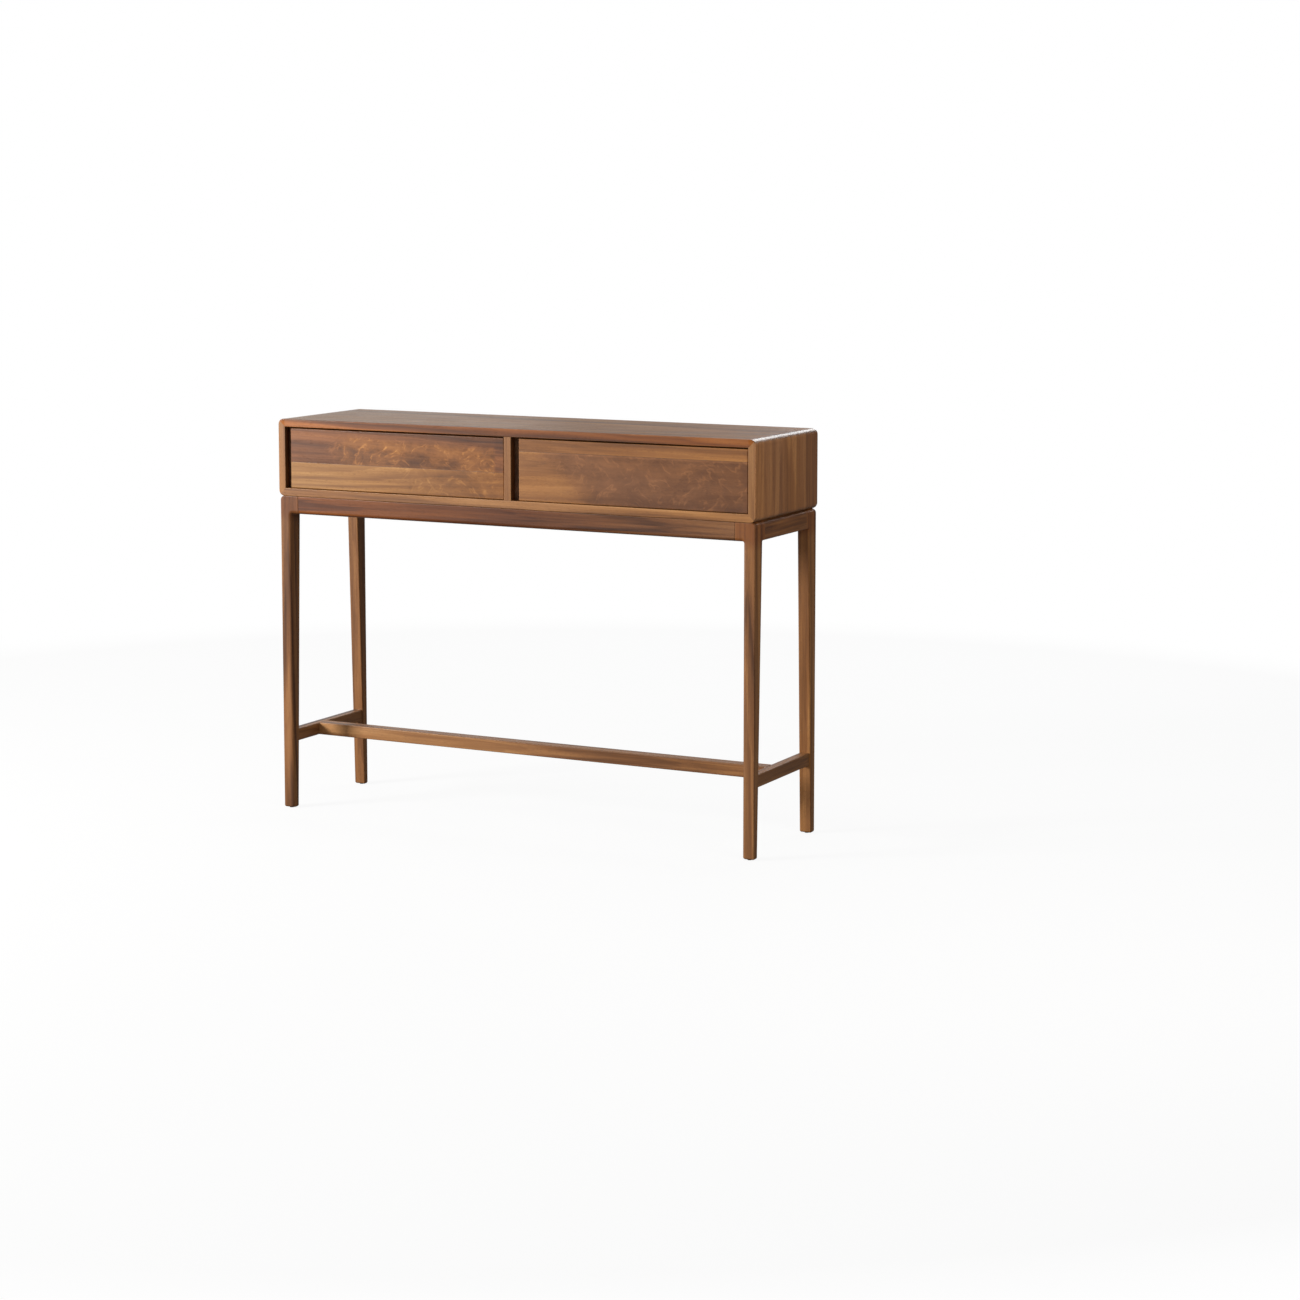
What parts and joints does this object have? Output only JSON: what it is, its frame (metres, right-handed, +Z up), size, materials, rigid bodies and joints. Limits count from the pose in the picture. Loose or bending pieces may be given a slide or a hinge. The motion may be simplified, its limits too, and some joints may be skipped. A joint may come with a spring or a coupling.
{
  "type": "console table",
  "caption": "Walnut console table: a mitred drawer case with two inset drawers on a slim stand with tapered legs and an H-shaped stretcher.",
  "frame": {"origin": "centre of the table's footprint, on the floor", "axes": "+X along the length to the right seen from the front, +Y to the back (the drawers face -Y), +Z up"},
  "size_m": [1.2, 0.32, 0.9],
  "materials": {
    "walnut_case": "satin oiled walnut",
    "walnut_drawer_front": "satin oiled walnut, glued boards",
    "walnut_stand": "satin oiled walnut",
    "walnut_inner": "raw walnut",
    "walnut_veneer_panel": "veneered panel, matte",
    "pale_drawer_wood": "pale hardwood, matte lacquer",
    "birch_plywood": "birch plywood, matte",
    "waxed_maple": "waxed hardwood runner",
    "zinc_screw": "zinc plated",
    "felt_pad": "dark brown felt"
  },
  "bodies": {
    "table": {"apron_back": "walnut_stand", "apron_front": "walnut_stand", "apron_left": "walnut_stand", "apron_right": "walnut_stand", "back_panel_screws": "zinc_screw", "case_back_panel": "walnut_veneer_panel", "case_bottom": "walnut_case", "case_divider": "walnut_case", "case_fixing_screws": "zinc_screw", "case_left_side": "walnut_case", "case_right_side": "walnut_case", "case_top": "walnut_case", "cross_rail_left": "walnut_inner", "cross_rail_right": "walnut_inner", "foot_pads": "felt_pad", "leg_back_left": "walnut_stand", "leg_back_right": "walnut_stand", "leg_front_left": "walnut_stand", "leg_front_right": "walnut_stand", "mitre_splines": "walnut_inner", "runner_rail_screws": "zinc_screw", "runner_rails_left_bay": "waxed_maple", "runner_rails_right_bay": "waxed_maple", "spacer_left_bay": "walnut_inner", "spacer_right_bay": "walnut_inner", "spacer_screws": "zinc_screw", "stretcher_centre": "walnut_stand", "stretcher_left": "walnut_stand", "stretcher_right": "walnut_stand"},
    "drawer_left": {"drawer_left_front": "walnut_drawer_front", "drawer_left_left_side": "pale_drawer_wood", "drawer_left_right_side": "pale_drawer_wood", "drawer_left_back": "pale_drawer_wood", "drawer_left_bottom": "birch_plywood"},
    "drawer_right": {"drawer_right_front": "walnut_drawer_front", "drawer_right_left_side": "pale_drawer_wood", "drawer_right_right_side": "pale_drawer_wood", "drawer_right_back": "pale_drawer_wood", "drawer_right_bottom": "birch_plywood"}
  },
  "joints": [
    {"name": "drawer_left_slide", "type": "slide", "parent": "table", "child": "drawer_left", "axis": [0, -1, 0], "range_m": [0, 0.2]},
    {"name": "drawer_right_slide", "type": "slide", "parent": "table", "child": "drawer_right", "axis": [0, -1, 0], "range_m": [0, 0.2]}
  ]
}
